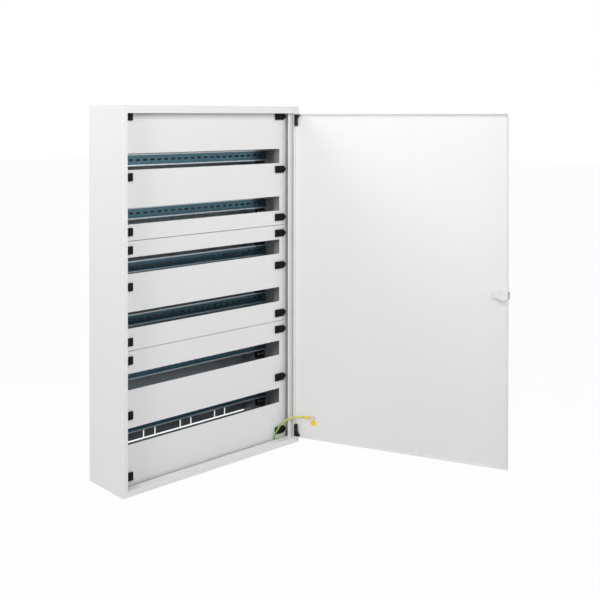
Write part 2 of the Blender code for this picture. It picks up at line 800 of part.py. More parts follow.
def latch_body():
    """The housing's solid shape: a tall half that reaches over the door's rim, and a low half."""
    half, inner_half = LATCH_HEIGHT / 2, LATCH_INNER_HEIGHT / 2
    inside = DOOR_LEFT + DOOR_SHEET + GAP
    front, back = DOOR_INNER + GAP, LATCH_BACK
    tall = box_shape(
        at(inside, front, LATCH_UP - half), at(DOOR_LEFT + LATCH_OUTER, back, LATCH_UP + half)
    )
    over_rim = box_shape(
        at(DOOR_LEFT, DOOR_RIM_END + GAP, LATCH_UP - half + OVERLAP),
        at(inside + OVERLAP, back - OVERLAP, LATCH_UP + half - OVERLAP),
    )
    low = box_shape(
        at(DOOR_LEFT + LATCH_OUTER - OVERLAP, front + OVERLAP, LATCH_UP - inner_half),
        at(DOOR_LEFT + LATCH_INNER, DOOR_SETBACK + LATCH_INNER_BACK, LATCH_UP + inner_half),
    )
    return join("latch_housing", tall, over_rim, low)


def make_latch_housing(pivot):
    """The housing, with a channel for the bolt and a slot for the bolt's stem."""
    half = BOLT_HEIGHT / 2 + GAP
    bolt_end = DOOR_LEFT - BOLT_PROUD + BOLT_LENGTH
    channel = box_shape(
        at(DOOR_LEFT - OVERCUT, BOLT_FRONT - GAP, LATCH_UP - half),
        at(bolt_end + BOLT_TRAVEL + GAP, BOLT_FRONT + BOLT_THICKNESS + GAP, LATCH_UP + half),
    )
    half = STEM_HEIGHT / 2 + GAP
    stem_slot = box_shape(
        at(STEM_LEFT - GAP, 0, LATCH_UP - half),
        at(STEM_LEFT + STEM_LENGTH + BOLT_TRAVEL + GAP, BOLT_FRONT + OVERLAP, LATCH_UP + half),
    )
    mesh = cut("latch_housing", latch_body(), join("channel", channel, stem_slot))
    add_to_door("latch_housing", mesh, LATCH_WHITE, pivot)


def make_latch_bolt(pivot):
    """A sprung bolt with a slanted tongue, and a finger grip that its stem carries through the door."""
    tip = DOOR_LEFT - BOLT_PROUD
    front, back = BOLT_FRONT, BOLT_FRONT + BOLT_THICKNESS
    outline = [
        (tip, front),
        (tip + BOLT_LENGTH, front),
        (tip + BOLT_LENGTH, back),
        (tip + BOLT_PROUD, back),
        (tip, front + BOLT_TIP),
    ]
    bar = bmesh.new()
    add_prism(bar, outline, at, LATCH_UP - BOLT_HEIGHT / 2, LATCH_UP + BOLT_HEIGHT / 2)
    stem = box_shape(
        at(STEM_LEFT, DOOR_SETBACK - GAP - OVERLAP, LATCH_UP - STEM_HEIGHT / 2),
        at(STEM_LEFT + STEM_LENGTH, front + OVERLAP, LATCH_UP + STEM_HEIGHT / 2),
    )
    grip_left = STEM_LEFT + (STEM_LENGTH - GRIP_LENGTH) / 2
    grip = box_shape(
        at(grip_left, DOOR_SETBACK - GAP - GRIP_THICKNESS, LATCH_UP - GRIP_HEIGHT / 2),
        at(grip_left + GRIP_LENGTH, DOOR_SETBACK - GAP, LATCH_UP + GRIP_HEIGHT / 2),
    )
    add_to_door("latch_bolt", join("latch_bolt", bar, stem, grip), BOLT_GREY, pivot)


def stud_mesh(name):
    """A threaded stud along +Z from the sheet it is welded to, with its nut."""
    stud = bmesh.new()
    add_cylinder(stud, (0, 0, STUD_LENGTH / 2), STUD_DIAMETER / 2, STUD_LENGTH, 16)
    nut = bmesh.new()
    middle = 2 * GAP + LUG_SHEET + NUT_THICKNESS / 2
    add_cylinder(nut, (0, 0, middle), NUT_WIDTH / math.sqrt(3), NUT_THICKNESS, 6)
    return join(name, stud, nut)


def lug_mesh(name):
    """A ring lug in the plane Z = GAP round the stud, with its barrel along +X."""
    ring = bmesh.new()
    middle = GAP + LUG_SHEET / 2
    add_cylinder(ring, (0, 0, middle), LUG_DIAMETER / 2, LUG_SHEET, 24)
    width = BARREL_DIAMETER / 2
    neck = box_shape(
        (LUG_DIAMETER / 4, -width * 0.7, GAP),
        (BARREL_FROM_STUD + 0.003, width * 0.7, GAP + LUG_SHEET),
    )
    barrel = bmesh.new()
    centre = (BARREL_FROM_STUD + BARREL_LENGTH / 2, 0, GAP + BARREL_DIAMETER / 2)
    add_cylinder(barrel, centre, BARREL_DIAMETER / 2, BARREL_LENGTH, 16, "X")
    hole = bmesh.new()
    add_cylinder(hole, (0, 0, middle), STUD_DIAMETER / 2 + GAP, 4 * LUG_SHEET, 16)
    return cut(name, join(name, ring, neck, barrel), mesh_of("lug_hole", hole))


def door_turn():
    """Turns what is drawn with the door shut to where the open door holds it."""
    hinge = Matrix.Translation(at(*HINGE, 0))
    return hinge @ Matrix.Rotation(math.radians(OPEN_ANGLE), 4, "Z") @ hinge.inverted()


def door_stud_place():
    """The door's earth stud with the door shut: its Z points into the case and its X to the hinge."""
    foot = at(DOOR_RIGHT - DOOR_STUD_FROM_EDGE, DOOR_INNER + GAP, DOOR_STUD_UP)
    return Matrix.Translation(foot) @ Matrix.Rotation(-math.pi / 2, 4, "X")


def case_lug_place():
    from_right, front = CASE_STUD
    foot = Matrix.Translation(at(WIDTH - from_right, front, CASE_SHEET + GAP))
    return foot @ Matrix.Rotation(math.radians(CASE_LUG_ANGLE), 4, "Z")


def make_earth(pivot):
    """Studs, lugs and the earth lead from the case's floor to the door."""
    for name, mesh, look in (
        ("earth_stud_door", stud_mesh("earth_stud_door"), STEEL),
        ("earth_lug_door", lug_mesh("earth_lug_door"), TINNED),
    ):
        mesh.transform(door_stud_place())
        add_to_door(name, mesh, look, pivot)
    add_node("earth_stud_case", stud_mesh("earth_stud_case"), STEEL, case_lug_place())
    add_node("earth_lug_case", lug_mesh("earth_lug_case"), TINNED, case_lug_place())
    make_lead()


def beyond_lug(place, distance):
    """The point this far out of a lug's barrel, on the barrel's axis."""
    reach = BARREL_FROM_STUD + BARREL_LENGTH + distance
    return place @ Vector((reach, 0, GAP + BARREL_DIAMETER / 2))


def smooth_route(points, per_span=2):
    """Points of a Catmull-Rom curve through the route."""
    padded = [points[0], *points, points[-1]]
    route = []
    for a, b, c, d in zip(padded, padded[1:], padded[2:], padded[3:]):
        for step in range(per_span):
            t = step / per_span
            route.append(
                0.5
                * (
                    2 * b
                    + (c - a) * t
                    + (2 * a - 5 * b + 4 * c - d) * t * t
                    + (3 * b - a - 3 * c + d) * t * t * t
                )
            )
    return [*route, points[-1]]


def make_lead():
    """The earth lead, a bendy cord between the two lugs."""
    door_lug_place = door_turn() @ door_stud_place()
    start = [beyond_lug(case_lug_place(), distance) for distance in (GAP, LEAD_STRAIGHT)]
    finish = [beyond_lug(door_lug_place, distance) for distance in (LEAD_STRAIGHT, GAP)]
    middle = [at(WIDTH - from_right, front, up) for from_right, front, up in LEAD_ROUTE]
    route = smooth_route([*start, *middle, *finish])
    curve = bpy.data.curves.new("earth_lead", "CURVE")
    curve.dimensions = "3D"
    curve.bevel_depth = LEAD_DIAMETER / 2
    curve.bevel_resolution = 2
    curve.use_fill_caps = True
    spline = curve.splines.new("POLY")
    spline.points.add(len(route) - 1)
    for point, place in zip(spline.points, route):
        point.co = (*place, 1.0)
    curve.materials.append(material(LEAD_GREEN))
    lead = bpy.data.objects.new("earth_lead", curve)
    bpy.context.scene.collection.objects.link(lead)


def main():
    clear_scene()
    make_case()
    make_rear_wall()
    make_uprights()
    make_ledges()
    make_rails()
    make_carriers()
    make_covers()
    make_clips()
    pivot = make_door_pivot()
    make_door(pivot)
    make_hinges(pivot)
    make_latch_housing(pivot)
    make_latch_bolt(pivot)
    make_earth(pivot)


main()
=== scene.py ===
"""Looks of a wall-hung switchboard cabinet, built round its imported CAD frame."""

import math

import bmesh
import bpy
from bpy.props import FloatProperty, FloatVectorProperty, IntProperty, PointerProperty
from mathutils import Matrix, Vector


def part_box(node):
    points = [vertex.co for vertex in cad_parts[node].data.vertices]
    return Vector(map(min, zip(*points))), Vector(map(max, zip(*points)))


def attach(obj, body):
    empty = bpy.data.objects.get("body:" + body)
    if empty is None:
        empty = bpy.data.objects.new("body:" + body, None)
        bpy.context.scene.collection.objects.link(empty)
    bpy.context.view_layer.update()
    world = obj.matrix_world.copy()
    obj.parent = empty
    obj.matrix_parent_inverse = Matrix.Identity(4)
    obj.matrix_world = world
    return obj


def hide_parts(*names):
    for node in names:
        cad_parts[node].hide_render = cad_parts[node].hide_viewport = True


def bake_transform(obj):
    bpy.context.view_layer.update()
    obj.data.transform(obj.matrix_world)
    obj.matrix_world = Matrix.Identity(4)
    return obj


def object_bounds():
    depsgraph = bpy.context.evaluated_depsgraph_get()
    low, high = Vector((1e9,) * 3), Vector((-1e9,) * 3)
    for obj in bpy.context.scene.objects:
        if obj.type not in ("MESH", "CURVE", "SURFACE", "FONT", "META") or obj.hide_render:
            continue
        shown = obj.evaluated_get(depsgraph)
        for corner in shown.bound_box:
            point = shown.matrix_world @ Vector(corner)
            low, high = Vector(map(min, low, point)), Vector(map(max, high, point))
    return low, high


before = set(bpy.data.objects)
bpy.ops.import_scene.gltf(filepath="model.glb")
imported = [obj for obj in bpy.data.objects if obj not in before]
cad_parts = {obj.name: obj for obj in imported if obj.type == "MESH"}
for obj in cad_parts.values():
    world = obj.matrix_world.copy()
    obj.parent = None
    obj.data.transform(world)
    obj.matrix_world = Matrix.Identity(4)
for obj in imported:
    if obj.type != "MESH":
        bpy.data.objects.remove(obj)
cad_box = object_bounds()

bl_info = {
    "name": "Switchboard cabinet",
    "version": (1, 0, 0),
    "blender": (4, 5, 0),
    "location": "View3D > Sidebar > Cabinet",
    "description": "Finishes and fittings of a wall-hung switchboard cabinet with its door open",
    "category": "Object",
}

ROWS = 6
CLIPS_PER_SIDE = 9
SIDES = ("left", "right")
ENDS = ("bottom", "top")

# Lengths here are in metres, and places are in the frame's coordinates

# Rails
RAIL_SHEET = 0.001
RAIL_BEND = 0.0012
RAIL_CROWN = 0.027
FIRST_HOLE_IN = 0.025  # from the rail's right end
PUNCH_DEPTH = 0.006
LIP_DEPTH = 0.0002  # how far behind the rail's front a lip gets the painted highlight

# Door and hinge corners
HINGE_AXIS = Vector((0.3269, -0.1635, 0.0))
OPEN_ANGLE = math.radians(114.6)
CORNER_SCREW_ACROSS = -0.0032
CORNER_SCREW_DEEP = 0.0095
CORNER_SCREW_UP = 0.0205  # from the corner piece's outer end

# Cover clips
RIB_FROM_END = 0.006
RIB_PITCH = 0.0035
RIB_WIDTH = 0.0014
RIB_HEIGHT = 0.0012
RIB_SHARE = 0.66  # of the clip's height
RIB_EDGE = 0.0004

# Rounding of small metal pieces
PIN_EDGE = 0.0002
STUD_EDGE = 0.0003
LUG_EDGE = 0.0002

# Earth lugs, sleeves and mark; a place on the door is (across, deep, up), as on_door takes it
CASE_STUD = Vector((0.23, -0.106, -0.5255))
CASE_LUG_TURN = math.radians(-48)
DOOR_STUD = (-0.0576, 0.0015, -0.449)
DOOR_MARK = (-0.0576, -0.0024, -0.4646)
MARK_THICKNESS = 0.0002
MOUTH_FROM_STUD = 0.0275
SLEEVE_BORE = 0.0035
SLEEVE_RADIUS = 0.0039
SLEEVE_LENGTH = 0.0165
SLEEVE_MOUTH = 0.0027
SLEEVE_PAST_BARREL = 0.0012

# Earth lead
LEAD_DIAMETER = 0.005
LEAD_LENGTH = 0.155
LEAD_GAP = 0.0003
LEAD_STRAIGHT = 0.007  # how far it runs straight out of a lug
STRIPE_PITCH = 0.16  # one turn of its stripes

# Centre line of the earth lead, between the lugs' barrels
LEAD_ROUTE = (
    (0.2555, -0.1365, -0.5215),
    (0.2560, -0.1380, -0.5130),
    (0.2580, -0.1410, -0.4970),
    (0.2640, -0.1450, -0.4820),
    (0.2760, -0.1480, -0.4680),
    (0.2920, -0.1540, -0.4570),
    (0.3070, -0.1630, -0.4510),
    (0.3190, -0.1720, -0.4490),
    (0.3280, -0.1790, -0.4485),
)

# Stage
CABINET_MIDDLE = (0.0, -0.1, 0.0)
LAMPS = (  # setting for its power, place, target, width
    ("key", (-0.5, -1.8, 1.15), (0.0, -0.1, 0.2), 0.9),
    ("side", (-2.8, -0.9, 0.55), CABINET_MIDDLE, 0.7),
    ("fill", (0.9, -2.4, 1.0), CABINET_MIDDLE, 1.0),
    ("top", (-1.2, 0.6, 1.4), (-0.3, 0.0, 0.0), 0.8),
    ("behind", (1.6, 2.2, 0.9), CABINET_MIDDLE, 1.4),
)
FLOOR_REACH = 30.0
FLOOR_WHITE_SHARE = 0.97  # the rest is the lit floor, with the cabinet's shadow
CAMERA_PLACE = (-1.7147, -2.1823, 0.5023)
CAMERA_TURN = (math.pi / 2 - 0.009, 0.0, -0.706)
CAMERA_SHIFT = (0.135, -0.2933)
SENSOR_WIDTH = 36.0  # in millimetres


# -------------------------------------------------------------------------------------------------
# Settings a user would change
# -------------------------------------------------------------------------------------------------


def colour(name, description, default):
    return FloatVectorProperty(
        name=name, description=description, default=default, size=3, min=0, max=1, subtype="COLOR"
    )


def length(name, description, default, largest=0.1):
    return FloatProperty(
        name=name,
        description=description,
        default=default,
        min=0.0,
        max=largest,
        precision=4,
        subtype="DISTANCE",
        unit="LENGTH",
    )


def power(name, description, default):
    return FloatProperty(name=name, description=description, default=default, min=0, unit="POWER")


class CabinetFinish(bpy.types.PropertyGroup):
    paint: colour("Paint", "Powder coat of the case and the door", (0.86, 0.86, 0.855))
    cover_paint: colour("Cover paint", "Powder coat of the cover plates", (0.84, 0.84, 0.84))
    plastic: colour(
        "Black plastic", "Clips, rail carriers and hinge corners", (0.006, 0.006, 0.0065)
    )
    latch: colour("Latch housing", "White plastic of the latch housing", (0.84, 0.84, 0.835))
    bolt: colour("Latch bolt", "Grey plastic of the latch bolt", (0.46, 0.46, 0.46))
    rail: colour("Rail", "Blue passivated zinc of the rails", (0.08, 0.16, 0.205))
    # On the rear wall this dark galvanised tint is partly painted shade: it also stands for the
    # shade inside the case.
    galvanised: colour("Galvanised sheet", "Rear wall and uprights", (0.33, 0.37, 0.39))
    earth_yellow: colour("Earth yellow", "Yellow of the sleeves and the mark", (0.98, 0.66, 0.01))
    lead_yellow: colour("Lead yellow", "Yellow of the earth lead", (0.70, 0.70, 0.03))
    earth_green: colour("Earth green", "Green of the earth lead", (0.10, 0.40, 0.03))


class CabinetSizes(bpy.types.PropertyGroup):
    sheet_edge: length("Sheet edge", "Rounding of cut and folded sheet edges", 0.0004, 0.001)
    plastic_edge: length("Plastic edge", "Rounding of moulded edges", 0.0005, 0.001)
    hole_pitch: length("Hole pitch", "Spacing of the rail's holes", 0.025)
    hole_length: length("Hole length", "Length of a rail hole", 0.015)
    hole_width: length("Hole width", "Width of a rail hole", 0.0062)
    holes: IntProperty(name="Holes", description="Holes in a rail", default=22, min=1, max=40)
    clip_ribs: IntProperty(
        name="Clip ribs", description="Grip ribs on a clip", default=4, min=1, max=8
    )
    screw_head: length("Screw head", "Diameter of the small screws' heads", 0.0055)
    mark: length("Earth mark", "Diameter of the yellow disc by the door's stud", 0.018)


class CabinetStage(bpy.types.PropertyGroup):
    lens: FloatProperty(
        name="Lens", description="Focal length", default=54.3, min=10, max=200, unit="CAMERA"
    )
    floor_drop: length("Floor drop", "How far the floor lies under the cabinet", 0.7, 3.0)
    key: power("Key light", "Softbox in front, high up", 13.3)
    side: power("Side light", "Softbox to the left", 22.5)
    fill: power("Fill light", "Softbox to the right in front", 9.5)
    top: power("Top light", "Softbox over the left side", 10.7)
    behind: power("Back light", "Softbox behind, to the right", 30.0)
    sky: FloatProperty(
        name="Sky", description="Brightness of the light from all round", default=0.32, min=0
    )


# -------------------------------------------------------------------------------------------------
# Shader node groups
# -------------------------------------------------------------------------------------------------


def new_group(name, kind, inputs, outputs):
    """A node group with its sockets: inputs are (name, type, default), outputs are (name, type)."""
    tree = bpy.data.node_groups.new(name, kind)
    for socket_name, socket_type, default in inputs:
        socket = tree.interface.new_socket(socket_name, in_out="INPUT", socket_type=socket_type)
        if default is not None:
            socket.default_value = default
    for socket_name, socket_type in outputs:
        tree.interface.new_socket(socket_name, in_out="OUTPUT", socket_type=socket_type)
    return tree


class Wiring:
    """Adds nodes to a tree and links them, so that a network reads from top to bottom."""

    def __init__(self, tree):
        self.tree = tree

    def add(self, kind, settings=None, **links):
        """A node with its settings; each link names an input and gives a socket or a value."""
        node = self.tree.nodes.new(kind)
        for key, value in (settings or {}).items():
            setattr(node, key, value)
        for key, value in links.items():
            self.join(node, key.replace("_", " "), value)
        return node

    def join(self, node, socket, value):
        target = node.inputs[int(socket)] if socket.isdigit() else node.inputs[socket]
        if isinstance(value, bpy.types.NodeSocket):
            self.tree.links.new(value, target)
        else:
            target.default_value = value

    def math(self, operation, first, second=0.0):
        node = self.add("ShaderNodeMath", {"operation": operation})
        self.join(node, "0", first)
        self.join(node, "1", second)
        return node.outputs[0]

    def ramp(self, value, stops):
        """A colour ramp with grey stops: (position, brightness)."""
        node = self.add("ShaderNodeValToRGB", Fac=value)
        elements = node.color_ramp.elements
        while len(elements) < len(stops):
            elements.new(0.5)
        for element, (position, bright) in zip(elements, stops):
            element.position = position
            element.color = (bright, bright, bright, 1.0)
        return node.outputs["Color"]

    def mix(self, factor, first, second, blend="MIX"):
        node = self.add("ShaderNodeMix", {"data_type": "RGBA", "blend_type": blend})
        self.join(node, "0", factor)
        self.join(node, "6", first)
        self.join(node, "7", second)
        return node.outputs[2]


def orange_peel_group():
    """The fine bumps of powder coat and moulded plastic, on object coordinates."""
    tree = new_group(
        "Surface texture",
        "ShaderNodeTree",
        [
            ("Scale", "NodeSocketFloat", 450.0),
            ("Depth", "NodeSocketFloat", 0.00004),
            ("Strength", "NodeSocketFloat", 0.5),
        ],
        [("Normal", "NodeSocketVector")],
    )
    wires = Wiring(tree)
    given = wires.add("NodeGroupInput").outputs
    place = wires.add("ShaderNodeTexCoord").outputs["Object"]
    noise = wires.add("ShaderNodeTexNoise", Vector=place, Scale=given["Scale"], Detail=2.0)
    bump = wires.add(
        "ShaderNodeBump",
        Strength=given["Strength"],
        Distance=given["Depth"],
        Height=noise.outputs["Fac"],
    )
    out = wires.add("NodeGroupOutput")
    wires.join(out, "Normal", bump.outputs["Normal"])
    return tree


def tone_group():
    """Slow drift of a finish's tone and gloss over the surface."""
    tree = new_group(
        "Tone drift",
        "ShaderNodeTree",
        [
            ("Color", "NodeSocketColor", (0.8, 0.8, 0.8, 1.0)),
            ("Amount", "NodeSocketFloat", 0.03),
            ("Scale", "NodeSocketFloat", 6.0),
            ("Roughness", "NodeSocketFloat", 0.4),
            ("Roughness drift", "NodeSocketFloat", 0.08),
        ],
        [("Color", "NodeSocketColor"), ("Roughness", "NodeSocketFloat")],
    )
    wires = Wiring(tree)
    given = wires.add("NodeGroupInput").outputs
    place = wires.add("ShaderNodeTexCoord").outputs["Object"]
    noise = wires.add("ShaderNodeTexNoise", Vector=place, Scale=given["Scale"], Detail=4.0)
    swing = wires.math("SUBTRACT", noise.outputs["Fac"], 0.5)
    gain = wires.math("ADD", wires.math("MULTIPLY", swing, given["Amount"]), 1.0)
    grey = wires.add("ShaderNodeCombineColor")
    for channel in ("Red", "Green", "Blue"):
        wires.join(grey, channel, gain)
    toned = wires.mix(1.0, given["Color"], grey.outputs["Color"], "MULTIPLY")
    gloss = wires.math("MULTIPLY", swing, given["Roughness drift"])
    out = wires.add("NodeGroupOutput")
    wires.join(out, "Color", toned)
    wires.join(out, "Roughness", wires.math("ADD", gloss, given["Roughness"]))
    return tree


def streak_group():
    """Rolling marks drawn out along X, as on strip steel."""
    tree = new_group(
        "Rolling marks",
        "ShaderNodeTree",
        [("Fine scale", "NodeSocketFloat", 900.0), ("Stretch", "NodeSocketFloat", 0.02)],
        [("Mask", "NodeSocketFloat")],
    )
    wires = Wiring(tree)
    given = wires.add("NodeGroupInput").outputs
    place = wires.add("ShaderNodeTexCoord").outputs["Object"]
    across = wires.add("ShaderNodeCombineXYZ", X=given["Stretch"], Y=1.0, Z=1.0)
    drawn = wires.add("ShaderNodeVectorMath", {"operation": "MULTIPLY"})
    wires.join(drawn, "0", place)
    wires.join(drawn, "1", across.outputs[0])
    noise = wires.add(
        "ShaderNodeTexNoise", Vector=drawn.outputs[0], Scale=given["Fine scale"], Detail=3.0
    )
    out = wires.add("NodeGroupOutput")
    wires.join(out, "Mask", noise.outputs["Fac"])
    return tree


# -------------------------------------------------------------------------------------------------
# Materials
# -------------------------------------------------------------------------------------------------


def new_material(name):
    """An empty material with its shader: returns (material, wiring, shader)."""
    made = bpy.data.materials.new(name)
    made.use_nodes = True
    return made, Wiring(made.node_tree), made.node_tree.nodes["Principled BSDF"]


def add_group(wires, tree, **values):
    return wires.add("ShaderNodeGroup", {"node_tree": tree}, **values).outputs


def rgba(values):
    return (*values, 1.0)


def shaded(tint, share, lift=0.0):
    """A tint at a share of its brightness, with some white added."""
    return rgba(lift + share * part for part in tint)


def lay_on(wires, shader, tone, texture):
    """Leads a tone and a surface texture to the shader."""
    wires.join(shader, "Base Color", tone["Color"])
    wires.join(shader, "Roughness", tone["Roughness"])
    wires.join(shader, "Normal", texture["Normal"])


def painted(name, tint, groups, roughness=0.42):
    """Powder coat: an even colour with orange peel."""
    made, wires, shader = new_material(name)
    tone = add_group(
        wires, groups["tone"], Color=rgba(tint), Amount=0.02, Scale=5.0, Roughness=roughness
    )
    peel = add_group(wires, groups["texture"], Scale=700.0, Depth=0.00003, Strength=0.35)
    lay_on(wires, shader, tone, peel)
    return made


def moulded(name, tint, groups, roughness=0.45, depth=0.00005, gloss=0.5):
    """Moulded plastic with a fine eroded grain."""
    made, wires, shader = new_material(name)
    shader.inputs["Specular IOR Level"].default_value = gloss
    tone = add_group(
        wires, groups["tone"], Color=rgba(tint), Amount=0.25, Scale=60.0, Roughness=roughness
    )
    grain = add_group(wires, groups["texture"], Scale=2600.0, Depth=depth, Strength=0.45)
    lay_on(wires, shader, tone, grain)
    return made


def rolled(name, tint, groups):
    """Plated strip steel with rolling marks along it, and a painted highlight that makes the front
    lips lighter.
    """
    made, wires, shader = new_material(name)
    marks = add_group(wires, groups["streak"])["Mask"]
    plated = wires.mix(wires.ramp(marks, ((0.3, 0.0), (0.7, 1.0))), shaded(tint, 0.72), rgba(tint))
    # Painted highlight: the front lips are mixed towards a light tint, patchy with the rolling
    # marks.
    rubbed = wires.add("ShaderNodeAttribute", {"attribute_name": "rubbed"}).outputs["Fac"]
    patchy = wires.math("ADD", wires.math("MULTIPLY", marks, 0.5), 0.5)
    highlight_amount = wires.math("MULTIPLY", rubbed, patchy)
    bright = shaded(tint, 0.45, lift=0.55)
    wires.join(shader, "Base Color", wires.mix(highlight_amount, plated, bright))
    gloss = wires.math("MULTIPLY", marks, 0.2)
    wires.join(shader, "Roughness", wires.math("ADD", gloss, 0.2))
    shader.inputs["Metallic"].default_value = 1.0
    bump = wires.add("ShaderNodeBump", Strength=0.25, Distance=0.00002, Height=marks)
    wires.join(shader, "Normal", bump.outputs["Normal"])
    return made


def spangled(name, tint, groups):
    """Galvanised sheet with its crystals, dulled by its oxide."""
    made, wires, shader = new_material(name)
    place = wires.add("ShaderNodeTexCoord").outputs["Object"]
    cells = wires.add("ShaderNodeTexVoronoi", Vector=place, Scale=140.0)
    bright = wires.add("ShaderNodeSeparateColor", Color=cells.outputs["Color"]).outputs[0]
    wires.join(shader, "Base Color", wires.mix(bright, shaded(tint, 0.8), rgba(tint)))
    gloss = wires.math("MULTIPLY", bright, 0.18)
    wires.join(shader, "Roughness", wires.math("ADD", gloss, 0.36))
    shader.inputs["Metallic"].default_value = 0.7
    peel = add_group(wires, groups["texture"], Scale=300.0, Depth=0.00002, Strength=0.3)
    wires.join(shader, "Normal", peel["Normal"])
    return made


def turned_metal(name, tint, groups, roughness=0.25):
    """Small plated or tinned pieces."""
    made, wires, shader = new_material(name)
    tone = add_group(
        wires, groups["tone"], Color=rgba(tint), Amount=0.3, Scale=160.0, Roughness=roughness
    )
    grain = add_group(wires, groups["texture"], Scale=1800.0, Depth=0.00003, Strength=0.4)
    lay_on(wires, shader, tone, grain)
    shader.inputs["Metallic"].default_value = 1.0
    return made


def striped_insulation(name, yellow, green, groups):
    """Two colours that run along the lead with a slow twist; the UV map is (round, along)."""
    made, wires, shader = new_material(name)
    uv = wires.add("ShaderNodeUVMap", {"uv_map": "UVMap"}).outputs["UV"]
    parts = wires.add("ShaderNodeSeparateXYZ", Vector=uv).outputs
    twist = wires.math("MULTIPLY", parts["Y"], LEAD_LENGTH / STRIPE_PITCH)
    turn = wires.math("ADD", parts["X"], twist)
    wave = wires.math("SINE", wires.math("MULTIPLY", turn, 2 * math.pi))
    level = wires.math("ADD", wires.math("MULTIPLY", wave, 0.5), 0.5)
    band = wires.ramp(level, ((0.44, 0.0), (0.56, 1.0)))
    wires.join(shader, "Base Color", wires.mix(band, rgba(green), rgba(yellow)))
    shader.inputs["Roughness"].default_value = 0.42
    grain = add_group(wires, groups["texture"], Scale=1500.0, Depth=0.00003, Strength=0.3)
    wires.join(shader, "Normal", grain["Normal"])
    return made


MATERIALS = {}


def make_materials():
    """Every finish, under the name of the record's slot where there is one."""
    finish = bpy.context.scene.cabinet_finish
    groups = {
        "texture": orange_peel_group(),
        "tone": tone_group(),
        "streak": streak_group(),
    }
    MATERIALS.update(
        powder_white=painted("powder_white", finish.paint, groups),
        cover_white=painted("cover_white", finish.cover_paint, groups, roughness=0.46),
        latch_white=moulded("latch_white", finish.latch, groups, 0.4, 0.00002),
        black_plastic=moulded("black_plastic", finish.plastic, groups, 0.5, gloss=0.15),
        bolt_grey=moulded("bolt_grey", finish.bolt, groups, 0.45, 0.00002),
        zinc_blue=rolled("zinc_blue", finish.rail, groups),
        galvanised=spangled("galvanised", finish.galvanised, groups),
        plain_steel=turned_metal("plain_steel", (0.62, 0.62, 0.61), groups),
        blackened_steel=turned_metal("blackened_steel", (0.05, 0.05, 0.055), groups, 0.35),
        tinned_copper=turned_metal("tinned_copper", (0.66, 0.60, 0.52), groups, 0.3),
        earth_green=striped_insulation(
            "earth_green", finish.lead_yellow, finish.earth_green, groups
        ),
        earth_yellow=moulded("earth_yellow", finish.earth_yellow, groups, 0.4, 0.00002),
    )


# -------------------------------------------------------------------------------------------------
# Meshes
# -------------------------------------------------------------------------------------------------


def merged_copy(node):
    """A CAD node's solid as a bmesh with its triangles joined into whole faces."""
    shape = bmesh.new()
    shape.from_mesh(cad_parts[node].data)
    shape.transform(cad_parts[node].matrix_world)
    bmesh.ops.remove_doubles(shape, verts=shape.verts, dist=2e-5)
    bmesh.ops.dissolve_limit(
        shape, angle_limit=math.radians(1), verts=shape.verts, edges=shape.edges
    )
    return shape


def object_from(name, shape, material):
    """An object at the origin that holds a bmesh."""
    mesh = bpy.data.meshes.new(name)
    shape.to_mesh(mesh)
    shape.free()
    mesh.materials.append(MATERIALS[material])
    obj = bpy.data.objects.new(name, mesh)
    bpy.context.scene.collection.objects.link(obj)
    return obj


def make_plain(obj):
    """Puts the result of an object's modifiers into its own mesh."""
    graph = bpy.context.evaluated_depsgraph_get()
    mesh = bpy.data.meshes.new_from_object(
        obj.evaluated_get(graph), preserve_all_data_layers=True, depsgraph=graph
    )
    obj.modifiers.clear()
    obj.data = mesh
    return obj


def round_edges(obj, width):
    """Rounds the edges that turn sharply, and shades the object smooth."""
    obj.data.shade_smooth()
    bevel = obj.modifiers.new("Rounded edges", "BEVEL")
    bevel.width = width
    bevel.segments = 2
    bevel.limit_method = "ANGLE"
    bevel.angle_limit = math.radians(38)
    bevel.use_clamp_overlap = True
    even = obj.modifiers.new("Flat faces stay flat", "WEIGHTED_NORMAL")
    even.mode = "FACE_AREA"
    even.weight = 100
    even.thresh = 0.001
    return make_plain(obj)


def seat(obj, body, material, *nodes):
    """Ties a finished piece to its body and hides the CAD nodes it stands for; the material is not
    used.
    """
    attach(obj, body)
    if nodes:
        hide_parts(*nodes)
    return obj


def finished_copy(node, body, material, width):
    """A CAD node's shape with rounded edges, in place of the node."""
    obj = object_from(node + "_finished", merged_copy(node), material)
    round_edges(obj, width)
    return seat(obj, body, material, node)


def shade_round(obj, degrees):
    """Shades an object smooth, with a crease where it turns more than the angle."""
    obj.data.shade_smooth()
    obj.data.set_sharp_from_angle(angle=math.radians(degrees))


def add_ring(shape, centre, radius, side, across, sides):
    """Points round a centre, in the plane of two directions."""
    ring = []
    for i in range(sides):
        turn = 2 * math.pi * i / sides
        way = math.cos(turn) * side + math.sin(turn) * across
        ring.append(shape.verts.new(centre + radius * way))
    return ring


def add_turned(shape, origin, axis, profile, sides):
    """A body turned round an axis: the profile is (radius, distance along) from end to end."""
    axis = Vector(axis).normalized()
    side = axis.orthogonal().normalized()
    across = axis.cross(side)
    rings = []
    for radius, along in profile:
        centre = Vector(origin) + axis * along
        if radius:
            rings.append(add_ring(shape, centre, radius, side, across, sides))
        else:
            rings.append([shape.verts.new(centre)])
    for first, second in zip(rings, rings[1:]):
        for i in range(sides):
            j = (i + 1) % sides
            corners = [first[i % len(first)], first[j % len(first)]]
            corners += [second[j % len(second)], second[i % len(second)]]
            corners = list(dict.fromkeys(corners))
            if len(corners) > 2:
                shape.faces.new(corners)


def close_faces(shape):
    bmesh.ops.recalc_face_normals(shape, faces=shape.faces)
    return shape


# -------------------------------------------------------------------------------------------------
# Geometry Nodes trees
# -------------------------------------------------------------------------------------------------


